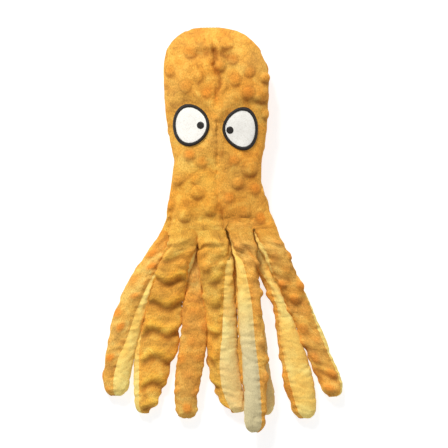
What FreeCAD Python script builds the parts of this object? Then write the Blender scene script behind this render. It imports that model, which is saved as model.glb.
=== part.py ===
"""Soft octopus toy, lying flat on its back on a table, in millimetres and degrees.

The toy is a bag of dimpled plush: four head gores sewn edge to edge, and eight tentacles, each a flat tube
with a plush cover on one side and a smooth underside on the other. It has no stuffing. The head holds a
round squeaker in a cloth pocket, and each tentacle holds a strip of crinkle film.

+Z is up off the table, +Y points to the crown of the head, +X to the toy's left-hand side as it looks up.
The origin is under the middle of the whole toy, on the table. The tentacles are numbered 1 to 8 across the
toy, from -X to +X. Numbers 2, 4, 5 and 8 hang from the front rim of the head, the others from the back rim.

Each tentacle folds on two lines that run straight across the toy: at its root, y = root_y, and halfway along,
y = fold_y. Its cloth is built as an upper and a lower length, which thin out and stop short of each fold line.
All sections stand in planes parallel to XZ, so a half-width is measured along X.
"""

import FreeCAD
import Part

import math
import os

import Sketcher
from FreeCAD import Vector

# ---------------------------------------------------------------- driving dimensions

SIZES = {
    "cloth": 2.0,  # plush with its pile
    "pinhole": 0.15,  # size of the hole left where cloth is gathered shut, over the size there
    "seam_gap": 1.2,  # degrees between two cloths that are sewn together
    "root_y": -10.0,  # line on which every tentacle folds off the head
    "thigh_y": -28.0,  # the two sections between the fold lines
    "knee_y": -46.0,
    "fold_y": -65.0,  # line on which every tentacle folds halfway along
    "fold_gap": 4.0,  # from a fold line to the cloth on each side of it
    "fold_thick": 3.2,  # half-thickness of a tentacle beside a fold
    "toe_share": 0.45,  # width of the very end of a toe, over the width before it
    "toe_back": 7.0,  # where the toe starts to close, back from its end
    "toe_full": 0.88,  # width there, over the width before it
    "strip_thick": 0.5,  # crinkle film, several layers
    "strip_share": 1.1,  # film width over the tentacle's half-width
    "flat_depth": 0.8,  # depth of the flat that the head's own weight presses into its back
    "table_size": 500.0,
    "base_gap": 1.0,  # between the base panel and the gores around it
    "base_thick": 2.0,
    "base_y": 2.0,  # near face of the base panel, inside the rim
    "felt_under": 0.3,  # clearance under the felt of the eyes
    "felt_top": 1.5,
    "outline_top": 2.1,
    "pupil_top": 2.7,
    "outline_wide": 2.8,  # satin-stitched outline of the eyes
    "eye_high": 17.6,
    "eye_wide": 15.0,
    "left_eye_x": -26.2,
    "left_eye_y": 85.4,
    "left_pupil_x": -18.8,
    "left_pupil_y": 85.1,
    "right_eye_x": 13.5,
    "right_eye_y": 82.6,
    "right_pupil_x": 5.2,
    "right_pupil_y": 81.3,
    "pupil_r": 2.9,
    "squeaker_x": -5.5,
    "squeaker_y": 112.0,
    "squeaker_base_z": 8.0,
    "squeaker_wall": 1.2,
    "squeaker_r": 22.0,  # outer radius of the bulb's lower cup
    "squeaker_gap": 0.4,  # running clearance of the upper cap on the cup
    "cup_high": 9.0,
    "cap_low": 8.0,  # foot of the cap's skirt above the cup's floor
    "cap_skirt": 9.0,
    "cap_dome": 5.0,
    "reed_tube_r": 5.0,
    "reed_tube_bore": 3.6,
    "reed_tube_high": 7.0,
    "reed_flange_r": 6.4,
    "reed_thick": 0.4,
    "pocket_wall": 0.8,
    "pocket_room": 1.4,  # slack of the pocket round the squeaker
}

# Sections of the head from the crown to the rim: y, centre x, half-width, half-thickness.
HEAD = [
    (165.0, -12.0, 11.0, 4.0),
    (160.5, -10.2, 23.5, 8.6),
    (148.5, -9.0, 36.4, 14.6),
    (128.0, -6.8, 42.2, 18.2),
    (106.0, -6.0, 42.4, 18.8),
    (84.0, -5.4, 40.8, 17.8),
    (62.0, -4.5, 37.4, 16.2),
    (40.0, -5.2, 37.0, 14.6),
    (22.0, -3.6, 41.4, 13.6),
    (7.0, -3.2, 45.2, 13.2),
    (0.0, -3.2, 46.2, 13.0),
]

# Sections of each tentacle: centre x, centre z, half-width, half-thickness and seam angle. The cover goes
# from the seam angle round by half a turn: at 0 it is the whole upper side, at 90 the -X side and at 180 the
# lower side. The upper length has its sections at root_y, thigh_y, knee_y and fold_y.
UPPER_Y = ("root_y", "thigh_y", "knee_y", "fold_y")
FRONT_Z = 20.0
UPPER = {
    1: [
        (-45.7, 6.5, 10.3, 6.0, 55.0),
        (-57.8, 6.5, 11.2, 6.0, 60.0),
        (-67.3, 6.5, 11.2, 6.0, 62.0),
        (-75.0, 6.5, 11.4, 6.0, 72.0),
    ],
    2: [
        (-33.8, FRONT_Z, 10.8, 6.2, 0.0),
        (-39.2, 18.5, 11.0, 6.2, 0.0),
        (-44.6, 14.5, 12.6, 6.2, -3.0),
        (-48.4, 9.1, 13.7, 6.5, -8.0),
    ],
    3: [
        (-22.5, 6.5, 9.0, 6.0, 40.0),
        (-23.0, 6.5, 9.0, 6.0, 20.0),
        (-24.0, 6.5, 8.4, 6.0, 0.0),
        (-24.8, 6.5, 8.2, 6.0, 0.0),
    ],
    4: [
        (-7.8, FRONT_Z, 12.8, 6.2, 15.0),
        (-6.3, 18.8, 13.4, 6.2, 57.0),
        (-4.5, 14.5, 13.4, 6.2, 68.0),
        (-2.9, 9.1, 12.8, 6.5, 79.0),
    ],
    5: [
        (16.0, FRONT_Z, 9.0, 6.2, -20.0),
        (19.6, FRONT_Z, 9.3, 6.2, -73.0),
        (21.3, FRONT_Z, 9.8, 6.2, -86.0),
        (22.0, FRONT_Z, 9.4, 6.2, -100.0),
    ],
    6: [
        (3.7, 6.5, 9.0, 6.0, 165.0),
        (10.0, 6.5, 9.2, 6.0, 165.0),
        (16.0, 6.5, 9.2, 6.0, 165.0),
        (21.3, 6.5, 9.0, 6.0, 165.0),
    ],
    7: [
        (26.7, 6.1, 8.0, 5.6, 110.0),
        (29.8, 6.1, 7.8, 5.6, 112.0),
        (36.3, 6.1, 7.2, 5.6, 114.0),
        (43.6, 6.1, 6.9, 5.6, 125.0),
    ],
    8: [
        (37.2, FRONT_Z, 10.8, 6.2, -62.0),
        (44.8, 18.5, 10.6, 6.2, -38.0),
        (53.2, 14.7, 10.6, 6.2, -2.0),
        (62.0, 9.3, 10.8, 6.2, 24.0),
    ],
}

# The sections below the middle fold also give their own y. The last is the end of the toe.
LOWER = {
    1: [
        (-87.0, -80.9, 6.7, 12.1, 6.2, 84.0),
        (-106.0, -85.0, 6.7, 12.1, 6.2, 96.0),
        (-121.0, -87.6, 6.5, 10.6, 6.0, 96.0),
        (-136.0, -89.2, 6.1, 8.6, 5.6, 92.0),
    ],
    2: [
        (-88.0, -52.2, 7.3, 15.1, 6.8, -22.0),
        (-110.0, -57.0, 7.1, 15.1, 6.6, -42.0),
        (-131.0, -61.9, 6.7, 11.0, 6.2, -45.0),
        (-150.5, -65.2, 5.7, 7.2, 5.2, -45.0),
    ],
    3: [
        (-88.0, -25.5, 7.0, 9.7, 6.5, 0.0),
        (-112.0, -27.3, 7.0, 10.8, 6.5, 0.0),
        (-135.0, -30.0, 6.7, 10.7, 6.2, 0.0),
        (-154.5, -30.3, 6.5, 9.2, 6.0, 0.0),
    ],
    4: [
        (-88.0, -1.3, 7.3, 12.7, 6.8, 88.0),
        (-110.0, -0.3, 7.0, 12.7, 6.5, 99.0),
        (-131.0, 4.2, 6.7, 12.0, 6.2, 112.0),
        (-150.0, 11.0, 6.1, 8.2, 5.6, 115.0),
    ],
    5: [
        (-90.0, 24.1, FRONT_Z, 9.4, 6.2, -102.0),
        (-116.0, 25.2, FRONT_Z, 8.8, 6.2, -114.0),
        (-142.0, 25.7, 19.1, 8.5, 6.0, -120.0),
        (-165.5, 25.4, 15.5, 7.8, 5.6, -132.0),
    ],
    6: [
        (-88.0, 24.5, 6.5, 10.0, 6.0, 165.0),
        (-110.0, 27.0, 6.5, 10.8, 6.0, 160.0),
        (-131.0, 29.5, 6.5, 10.8, 6.0, 160.0),
        (-151.5, 33.0, 6.1, 8.6, 5.6, 160.0),
    ],
    7: [
        (-88.0, 50.3, 6.5, 8.6, 6.0, 143.0),
        (-110.0, 56.7, 6.7, 10.5, 6.2, 138.0),
        (-132.0, 60.8, 6.7, 11.4, 6.2, 126.0),
        (-154.5, 67.0, 6.3, 9.0, 5.8, 119.0),
    ],
    8: [
        (-84.0, 69.4, 7.1, 10.5, 6.6, 37.0),
        (-104.0, 78.1, 6.7, 10.2, 6.2, 36.0),
        (-121.0, 86.8, 6.5, 10.4, 6.0, 25.0),
        (-137.0, 91.4, 6.1, 8.0, 5.6, 10.0),
    ],
}
COLUMNS = ("y", "x", "z", "wide", "thick", "seam")
FOLD = len(UPPER_Y) - 1
TOE = FOLD + 4

doc = FreeCAD.newDocument("OctopusToy")
sheet = doc.addObject("Spreadsheet::Sheet", "Sizes")
values = {}
sub_parts = []


def cell(alias, value):
    """One more line of the sheet: the alias as a label in column A, its number in column B."""
    row = len(values) + 1
    sheet.set(f"A{row}", alias)
    sheet.set(f"B{row}", str(value))
    sheet.setAlias(f"B{row}", alias)
    values[alias] = value


def fill_sheet():
    for alias, value in SIZES.items():
        cell(alias, value)
    for i, (y, x, wide, thick) in enumerate(HEAD):
        for column, value in (("y", y), ("x", x), ("wide", wide), ("thick", thick)):
            cell(f"head_{i}_{column}", value)
    for number in UPPER:
        for i, station in enumerate(UPPER[number]):
            for column, value in zip(COLUMNS[1:], station):
                cell(f"tentacle_{number}_{i}_{column}", value)
        for i, station in enumerate(LOWER[number], FOLD + 1):
            for column, value in zip(COLUMNS, station):
                cell(f"tentacle_{number}_{i}_{column}", value)
    doc.recompute()


# ---------------------------------------------------------------- helpers for sections and bodies


def number_of(expression):
    """The value of an expression in the sheet's aliases, for the first guess of a sketch."""
    for alias in sorted(values, key=len, reverse=True):
        expression = expression.replace(f"Sizes.{alias}", f"({values[alias]})")
    return FreeCAD.Units.Quantity(expression).Value


def add(a, b):
    return f"({a} + {b})"


def times(a, b):
    return f"({a} * {b})"


class Section:
    """An upright elliptical section, every value an expression in the sheet's aliases."""

    def __init__(self, x, y, z, wide, thick, seam="0", closed=False):
        self.x, self.y, self.z = x, y, z
        self.wide, self.thick, self.seam = wide, thick, seam
        self.closed = closed

    def inner(self, half):
        """Half-size of the hollow inside the cloth."""
        return times(half, "Sizes.pinhole") if self.closed else add(half, "-1 * Sizes.cloth")


def plane(body, role):
    return next(f for f in body.Origin.OriginFeatures if f.Role == role)


def new_body(label):
    body = doc.addObject("PartDesign::Body", label)
    body.Label = label
    sub_parts.append(body)
    return body


def sketch_on(body, name, role, x="0", y="0", z="0"):
    """A sketch on one of the body's own planes, moved by three expressions along the plane's own axes."""
    sketch = body.newObject("Sketcher::SketchObject", name)
    sketch.AttachmentSupport = (plane(body, role), "")
    sketch.MapMode = "FlatFace"
    for axis, expression in (("x", x), ("y", y), ("z", z)):
        sketch.setExpression(f"AttachmentOffset.Base.{axis}", expression)
    return sketch


def bind(sketch, constraint, expression):
    index = sketch.addConstraint(constraint)
    sketch.setExpression(f"Constraints[{index}]", expression)


def on_ellipse(wide, thick, degrees):
    """The parameter and the point of an ellipse that a ray at this polar angle meets."""
    ray = math.radians(degrees)
    u = math.atan2(math.sin(ray) / thick, math.cos(ray) / wide)
    return u, Vector(wide * math.cos(u), thick * math.sin(u), 0)


def ring_sector(body, name, section, start, end):
    """A sketch of the cloth between two polar angles (expressions, in degrees) of an elliptical section."""
    sketch = sketch_on(body, name, "XZ_Plane", section.x, section.z, f"-1 * {section.y}")
    first, last = number_of(start), number_of(end)
    rims = [(section.wide, section.thick), (section.inner(section.wide), section.inner(section.thick))]
    ends = []
    for wide, thick in rims:
        half_wide, half_thick = number_of(wide), number_of(thick)
        (u0, p0), (u1, p1) = (on_ellipse(half_wide, half_thick, a) for a in (first, last))
        if u1 < u0:
            u1 += 2 * math.pi
        ellipse = Part.Ellipse(Vector(half_wide, 0, 0), Vector(0, half_thick, 0), Vector())
        sketch.addGeometry(Part.ArcOfEllipse(ellipse, u0, u1), False)
        ends.append((p0, p1))
    (outer_0, outer_1), (inner_0, inner_1) = ends
    sketch.addGeometry(Part.LineSegment(inner_0, outer_0), False)
    sketch.addGeometry(Part.LineSegment(inner_1, outer_1), False)
    sketch.exposeInternalGeometry(0)
    sketch.exposeInternalGeometry(1)
    outer, inner, seam_0, seam_1, outer_axes, inner_axes = 0, 1, 2, 3, 4, 8
    sketch.addConstraint(
        [
            Sketcher.Constraint("Coincident", outer, 1, seam_0, 2),
            Sketcher.Constraint("Coincident", inner, 1, seam_0, 1),
            Sketcher.Constraint("Coincident", outer, 2, seam_1, 2),
            Sketcher.Constraint("Coincident", inner, 2, seam_1, 1),
            Sketcher.Constraint("Coincident", outer, 3, -1, 1),
            Sketcher.Constraint("Coincident", inner, 3, -1, 1),
            Sketcher.Constraint("Horizontal", outer_axes),
            Sketcher.Constraint("Horizontal", inner_axes),
            Sketcher.Constraint("PointOnObject", -1, 1, seam_0),
            Sketcher.Constraint("PointOnObject", -1, 1, seam_1),
        ]
    )
    for axes, (wide, thick) in ((outer_axes, rims[0]), (inner_axes, rims[1])):
        for line, half in ((axes, wide), (axes + 1, thick)):
            bind(sketch, Sketcher.Constraint("Distance", line, 2 * number_of(half)), times("2", half))
    for line, angle in ((seam_0, start), (seam_1, end)):
        radians = math.radians(number_of(angle))
        bind(sketch, Sketcher.Constraint("Angle", line, radians), f"{angle} * 1 deg")
    return sketch


def loft(body, sketches):
    feature = body.newObject("PartDesign::AdditiveLoft", f"{body.Name}_Loft")
    feature.Profile = sketches[0]
    feature.Sections = [(sketch, [""]) for sketch in sketches[1:]]
    return feature


def cloth(label, sections, start, end):
    """One cut piece of cloth, lofted through its share of each section, a little short of the seams."""
    body = new_body(label)
    sketches = [
        ring_sector(
            body,
            f"{label}_{i}",
            section,
            add(add(section.seam, start), "Sizes.seam_gap"),
            add(add(section.seam, end), "-1 * Sizes.seam_gap"),
        )
        for i, section in enumerate(sections)
    ]
    loft(body, sketches)
    return body


# ---------------------------------------------------------------- head gores and base panel


def head_sections():
    sections = []
    for i in range(len(HEAD)):
        y, x, wide, thick = (f"Sizes.head_{i}_{c}" for c in ("y", "x", "wide", "thick"))
        z = add(thick, "-1 * Sizes.flat_depth")
        sections.append(Section(x, y, z, wide, thick, closed=i == 0))
    return sections


def rectangle(sketch, width, height):
    """Draws a rectangle about the sketch's origin, its sides bound to two expressions."""
    w, h = number_of(width) / 2, number_of(height) / 2
    corners = [Vector(-w, -h, 0), Vector(w, -h, 0), Vector(w, h, 0), Vector(-w, h, 0)]
    for i in range(4):
        sketch.addGeometry(Part.LineSegment(corners[i], corners[(i + 1) % 4]), False)
    for i in range(4):
        sketch.addConstraint(Sketcher.Constraint("Coincident", i, 2, (i + 1) % 4, 1))
    sketch.addConstraint(
        [
            Sketcher.Constraint("Horizontal", 0),
            Sketcher.Constraint("Horizontal", 2),
            Sketcher.Constraint("Vertical", 1),
            Sketcher.Constraint("Vertical", 3),
            Sketcher.Constraint("Symmetric", 0, 1, 2, 1, -1, 1),
        ]
    )
    bind(sketch, Sketcher.Constraint("Distance", 0, 2 * w), width)
    bind(sketch, Sketcher.Constraint("Distance", 1, 2 * h), height)


def press_flat(body):
    """Cuts away what would reach below the table, which leaves the flat that the toy lies on."""
    doc.recompute()
    before = body.Shape.Volume
    sketch = sketch_on(body, f"{body.Name}_table", "XY_Plane")
    rectangle(sketch, "Sizes.table_size", "Sizes.table_size")
    pocket = body.newObject("PartDesign::Pocket", f"{body.Name}_press")
    pocket.Profile = sketch
    pocket.setExpression("Length", "Sizes.flat_depth + 5")
    doc.recompute()
    if not 0 < before - body.Shape.Volume < 0.1 * before:
        raise ValueError(f"{body.Label} was not pressed flat")


def build_head():
    gores = {
        "head_front_right_gore": ("0", "90"),
        "head_front_left_gore": ("90", "180"),
        "head_back_left_gore": ("180", "270"),
        "head_back_right_gore": ("270", "360"),
    }
    sections = head_sections()
    for label, (start, end) in gores.items():
        body = cloth(label, sections, start, end)
        if "back" in label:
            press_flat(body)


def ellipse_sketch(body, name, role, offset, centre_x, centre_y, wide, thick):
    """A whole ellipse on one of the body's planes, its centre moved by the sketch's own offset."""
    sketch = sketch_on(body, name, role, centre_x, centre_y, offset)
    half_wide, half_thick = number_of(wide), number_of(thick)
    long_first = half_wide >= half_thick
    points = [Vector(half_wide, 0, 0), Vector(0, half_thick, 0)]
    major, minor = points if long_first else (points[1], Vector(-half_wide, 0, 0))
    sketch.addGeometry(Part.Ellipse(major, minor, Vector()), False)
    sketch.exposeInternalGeometry(0)
    along = "Horizontal" if long_first else "Vertical"
    sketch.addConstraint(
        [Sketcher.Constraint("Coincident", 0, 3, -1, 1), Sketcher.Constraint(along, 1)]
    )
    sizes = (wide, thick) if long_first else (thick, wide)
    for line, half in zip((1, 2), sizes):
        bind(sketch, Sketcher.Constraint("Distance", line, 2 * number_of(half)), times("2", half))
    return sketch


def build_base_panel():
    """The smooth oval that closes the bag between the front and the back tentacles."""
    rim = head_sections()[-1]
    inset = "-1 * (Sizes.cloth + Sizes.base_gap)"
    body = new_body("base_panel")
    sketch = ellipse_sketch(
        body,
        "base_panel_outline",
        "XZ_Plane",
        "-1 * (Sizes.base_y + Sizes.base_thick)",
        rim.x,
        rim.z,
        add(rim.wide, inset),
        add(rim.thick, inset),
    )
    pad = body.newObject("PartDesign::Pad", "base_panel_pad")
    pad.Profile = sketch
    pad.setExpression("Length", "Sizes.base_thick")


# ---------------------------------------------------------------- tentacles


def tentacle_section(number, i, **changes):
    x, z, wide, thick, seam = (f"Sizes.tentacle_{number}_{i}_{c}" for c in COLUMNS[1:])
    y = f"Sizes.{UPPER_Y[i]}" if i <= FOLD else f"Sizes.tentacle_{number}_{i}_y"
    section = Section(x, y, z, wide, thick, seam)
    for name, value in changes.items():
        setattr(section, name, value)
    return section


def moved_section(number, i, distance, towards, **changes):
    """The section at station i, moved a distance in Y (an expression) on the straight line to another one."""
    here, there = tentacle_section(number, i), tentacle_section(number, towards)
    span = f"({here.y} - {there.y})" if towards > i else f"({there.y} - {here.y})"
    sign = "-1" if towards > i else "1"
    share = f"({distance} / {span})"
    moved = {
        "x": f"({here.x} + ({there.x} - {here.x}) * {share})",
        "y": f"({here.y} + {sign} * {distance})",
        "z": f"({here.z} + ({there.z} - {here.z}) * {share})",
    }
    return tentacle_section(number, i, **moved, **changes)


def beside_fold(number, i, towards):
    """The thinned end of the cloth beside the fold at station i."""
    return moved_section(number, i, "Sizes.fold_gap", towards, thick="Sizes.fold_thick")


def upper_sections(number):
    middle = [tentacle_section(number, i) for i in range(1, FOLD)]
    return [beside_fold(number, 0, 1), *middle, beside_fold(number, FOLD, FOLD - 1)]


def lower_sections(number):
    toe = tentacle_section(number, TOE)
    closing = {
        "wide": times(toe.wide, "Sizes.toe_full"),
        "thick": times(toe.thick, "Sizes.toe_full"),
    }
    end = {
        "wide": times(toe.wide, "Sizes.toe_share"),
        "thick": times(toe.thick, "Sizes.toe_share"),
        "closed": True,
    }
    return [
        beside_fold(number, FOLD, FOLD + 1),
        *(tentacle_section(number, i) for i in range(FOLD + 1, TOE)),
        moved_section(number, TOE, "Sizes.toe_back", TOE - 1, **closing),
        tentacle_section(number, TOE, **end),
    ]


def film_section(body, name, section):
    """A flat rectangle across the middle of a section."""
    sketch = sketch_on(body, name, "XZ_Plane", section.x, section.z, f"-1 * {section.y}")
    rectangle(sketch, times(section.wide, "Sizes.strip_share"), "Sizes.strip_thick")
    return sketch


def build_tentacle(number):
    name = f"tentacle_{number}"
    for length, sections in (("upper", upper_sections(number)), ("lower", lower_sections(number))):
        cloth(f"{name}_{length}_cover", sections, "0", "180")
        cloth(f"{name}_{length}_underside", sections, "180", "360")
    body = new_body(f"{name}_crinkle_strip")
    film = [
        film_section(body, f"{name}_film_{i}", tentacle_section(number, i))
        for i in range(FOLD + 1, TOE)
    ]
    loft(body, film)


# ---------------------------------------------------------------- eyes


def head_layer(name, height):
    """The front of the head grown by a height (an expression), as a solid to cut felt from."""
    body = doc.addObject("PartDesign::Body", name)
    sketches = []
    for i, section in enumerate(head_sections()[1:]):
        sketches.append(
            ellipse_sketch(
                body,
                f"{name}_{i}",
                "XZ_Plane",
                f"-1 * {section.y}",
                section.x,
                section.z,
                add(section.wide, height),
                add(section.thick, height),
            )
        )
    loft(body, sketches)
    return body


def eye_prism(label, x, y, wide, high):
    """An upright oval prism through the face, from the level of the head's side seams up."""
    body = doc.addObject("PartDesign::Body", label)
    side_seams = head_sections()[4].z
    sketch = ellipse_sketch(body, f"{label}_oval", "XY_Plane", side_seams, x, y, wide, high)
    pad = body.newObject("PartDesign::Pad", f"{label}_pad")
    pad.Profile = sketch
    pad.Length = 60
    return body


def cut_from(label, base, tool):
    cut = doc.addObject("Part::Cut", label)
    cut.Base, cut.Tool = base, tool
    return cut


def common(label, base, tool):
    shared = doc.addObject("Part::Common", label)
    shared.Base, shared.Tool = base, tool
    shared.Label = label
    sub_parts.append(shared)
    return shared


def build_eyes():
    """Felt ovals sewn down flat on the front gores, each with a raised outline and a raised pupil."""
    heights = {
        "under": "Sizes.felt_under",
        "felt": "Sizes.felt_top",
        "outline": "Sizes.outline_top",
        "pupil": "Sizes.pupil_top",
    }
    layers = {name: head_layer(f"head_grown_to_{name}", h) for name, h in heights.items()}
    felt_layer = cut_from("felt_layer", layers["felt"], layers["under"])
    outline_layer = cut_from("outline_layer", layers["outline"], layers["under"])
    pupil_layer = cut_from("pupil_layer", layers["pupil"], layers["felt"])
    grown = "Sizes.outline_wide"
    for side in ("left", "right"):
        x, y = f"Sizes.{side}_eye_x", f"Sizes.{side}_eye_y"
        wide, high = "Sizes.eye_wide", "Sizes.eye_high"
        inner = (add(wide, f"-1 * {grown}"), add(high, f"-1 * {grown}"))
        white = eye_prism(f"{side}_white_oval", x, y, *inner)
        hole = eye_prism(f"{side}_outline_hole", x, y, *inner)
        ring = cut_from(f"{side}_outline_ring", eye_prism(f"{side}_outline_oval", x, y, wide, high), hole)
        spot_x, spot_y = f"Sizes.{side}_pupil_x", f"Sizes.{side}_pupil_y"
        radius = "Sizes.pupil_r"
        spot = eye_prism(f"{side}_pupil_oval", spot_x, spot_y, radius, times(radius, "1.001"))
        common(f"eye_{side}_white", felt_layer, white)
        common(f"eye_{side}_outline", outline_layer, ring)
        common(f"eye_{side}_pupil", pupil_layer, spot)


# ---------------------------------------------------------------- squeaker


def turned(label, profile):
    """A body of revolution about the squeaker's upright axis. The profile is a list of (radius, height)
    expressions over the squeaker's floor, joined in order by straight edges."""
    body = new_body(label)
    sketch = sketch_on(
        body,
        f"{label}_profile",
        "XZ_Plane",
        "Sizes.squeaker_x",
        "Sizes.squeaker_base_z",
        "-1 * Sizes.squeaker_y",
    )
    points = [Vector(number_of(r), number_of(z), 0) for r, z in profile]
    count = len(points)
    for i in range(count):
        sketch.addGeometry(Part.LineSegment(points[i], points[(i + 1) % count]), False)
    for i in range(count):
        sketch.addConstraint(Sketcher.Constraint("Coincident", i, 2, (i + 1) % count, 1))
    for i, (r, z) in enumerate(profile):
        for kind, value in (("DistanceX", r), ("DistanceY", z)):
            constraint = Sketcher.Constraint(kind, -1, 1, i, 1, number_of(value))
            bind(sketch, constraint, value)
    feature = body.newObject("PartDesign::Revolution", f"{label}_turn")
    feature.Profile = sketch
    feature.ReferenceAxis = (sketch, ["V_Axis"])
    feature.Angle = 360
    return body


def build_squeaker():
    wall, r = "Sizes.squeaker_wall", "Sizes.squeaker_r"
    hole = "(Sizes.reed_tube_r + 0.05)"
    turned(
        "squeaker_cup",
        [
            (hole, "0"),
            (add(r, "-2"), "0"),
            (r, "2"),
            (r, "Sizes.cup_high"),
            (f"({r} - {wall})", "Sizes.cup_high"),
            (f"({r} - {wall})", "2.5"),
            (f"({r} - {wall} - 1.5)", wall),
            (hole, wall),
        ],
    )
    inside = f"({r} + Sizes.squeaker_gap)"
    outside = f"({r} + Sizes.squeaker_gap + {wall})"
    low = "Sizes.cap_low"
    shoulder = "(Sizes.cap_low + Sizes.cap_skirt)"
    crown = "(Sizes.cap_low + Sizes.cap_skirt + Sizes.cap_dome)"
    turned(
        "squeaker_cap",
        [
            (inside, low),
            (outside, low),
            (outside, shoulder),
            (times(outside, "0.8"), f"({shoulder} + 0.72 * Sizes.cap_dome)"),
            (times(outside, "0.5"), f"({shoulder} + 0.95 * Sizes.cap_dome)"),
            ("0", crown),
            ("0", f"({crown} - {wall})"),
            (times(inside, "0.5"), f"({shoulder} + 0.95 * Sizes.cap_dome - {wall})"),
            (times(inside, "0.8"), f"({shoulder} + 0.72 * Sizes.cap_dome - {wall})"),
            (inside, f"({shoulder} - {wall})"),
        ],
    )
    turned(
        "squeaker_reed_tube",
        [
            ("Sizes.reed_tube_bore", "-0.8"),
            ("Sizes.reed_flange_r", "-0.8"),
            ("Sizes.reed_flange_r", "-0.05"),
            ("Sizes.reed_tube_r", "-0.05"),
            ("Sizes.reed_tube_r", "Sizes.reed_tube_high"),
            ("Sizes.reed_tube_bore", "Sizes.reed_tube_high"),
        ],
    )
    reed = doc.addObject("Part::Box", "squeaker_reed")
    reed.Label = "squeaker_reed"
    reed.setExpression("Length", "2 * (Sizes.reed_tube_bore - 0.8)")
    reed.setExpression("Width", "Sizes.reed_thick")
    reed.setExpression("Height", "Sizes.reed_tube_high - 1")
    reed.setExpression("Placement.Base.x", "Sizes.squeaker_x - (Sizes.reed_tube_bore - 0.8)")
    reed.setExpression("Placement.Base.y", "Sizes.squeaker_y - Sizes.reed_thick / 2")
    reed.setExpression("Placement.Base.z", "Sizes.squeaker_base_z")
    sub_parts.append(reed)
    room, skin = "Sizes.pocket_room", "Sizes.pocket_wall"
    across = f"({outside} + {room})"
    floor = f"(0 - {room} - 0.2)"
    roof = f"({crown} + {room})"
    turned(
        "squeaker_pocket",
        [
            ("0", f"({floor} - {skin})"),
            (add(across, "-2.6"), f"({floor} - {skin})"),
            (f"({across} + {skin})", "2"),
            (f"({across} + {skin})", shoulder),
            (add(across, "-3.6"), f"({roof} - 1 + {skin})"),
            ("0", f"({roof} + {skin})"),
            ("0", roof),
            (add(across, "-4"), f"({roof} - 1)"),
            (across, shoulder),
            (across, "2"),
            (add(across, "-3"), floor),
            ("0", floor),
        ],
    )


# ---------------------------------------------------------------- build, check and write


def main():
    fill_sheet()
    build_head()
    build_base_panel()
    for number in UPPER:
        build_tentacle(number)
    build_eyes()
    build_squeaker()
    doc.recompute()
    for item in doc.Objects:
        if {"Invalid", "Error"} & set(item.State):
            raise ValueError(f"{item.Label} is {item.State}")
    os.makedirs("parts", exist_ok=True)
    for item in sub_parts:
        shape = item.Shape
        if shape.isNull() or not shape.isValid() or not shape.Solids:
            raise ValueError(f"{item.Label} has no valid solid")
        shape.exportStep(os.path.join("parts", f"{item.Label}.step"))
    print(f"{len(sub_parts)} sub-parts written")


main()
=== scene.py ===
"""Soft octopus toy with no stuffing, lying on its back on a pale floor.

Metres, in the frame of the CAD part; sizes of the cloth are in millimetres until its points are made."""

import math

import bpy
import numpy as np
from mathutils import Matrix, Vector


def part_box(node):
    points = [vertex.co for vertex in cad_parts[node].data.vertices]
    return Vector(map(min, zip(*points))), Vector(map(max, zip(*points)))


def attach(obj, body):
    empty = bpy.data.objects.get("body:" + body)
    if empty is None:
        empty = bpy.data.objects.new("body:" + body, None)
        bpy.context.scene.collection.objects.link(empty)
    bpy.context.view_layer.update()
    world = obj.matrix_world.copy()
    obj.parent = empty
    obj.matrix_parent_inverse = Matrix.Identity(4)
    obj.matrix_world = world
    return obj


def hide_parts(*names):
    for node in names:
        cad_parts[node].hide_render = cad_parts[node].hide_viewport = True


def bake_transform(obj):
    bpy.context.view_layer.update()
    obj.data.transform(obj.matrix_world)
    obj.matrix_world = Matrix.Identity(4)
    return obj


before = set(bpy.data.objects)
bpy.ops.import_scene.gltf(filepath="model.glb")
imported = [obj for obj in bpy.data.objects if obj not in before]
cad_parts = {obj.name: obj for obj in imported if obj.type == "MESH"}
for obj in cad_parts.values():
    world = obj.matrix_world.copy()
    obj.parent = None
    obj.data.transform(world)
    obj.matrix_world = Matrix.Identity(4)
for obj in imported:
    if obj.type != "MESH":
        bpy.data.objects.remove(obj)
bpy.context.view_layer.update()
MM = 0.001


# ---------------------------------------------------------------- the eight tentacles: shape
# Each tentacle is a flat tube sewn from two strips: a dimpled cover cut in one with a gore of the head, and a
# smooth underside. It is left empty but for crackling film, so it lies limp and half turned over. Numbers 2, 4,
# 5 and 8 hang from the front gores, 1, 3, 6 and 7 from the back ones.

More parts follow.
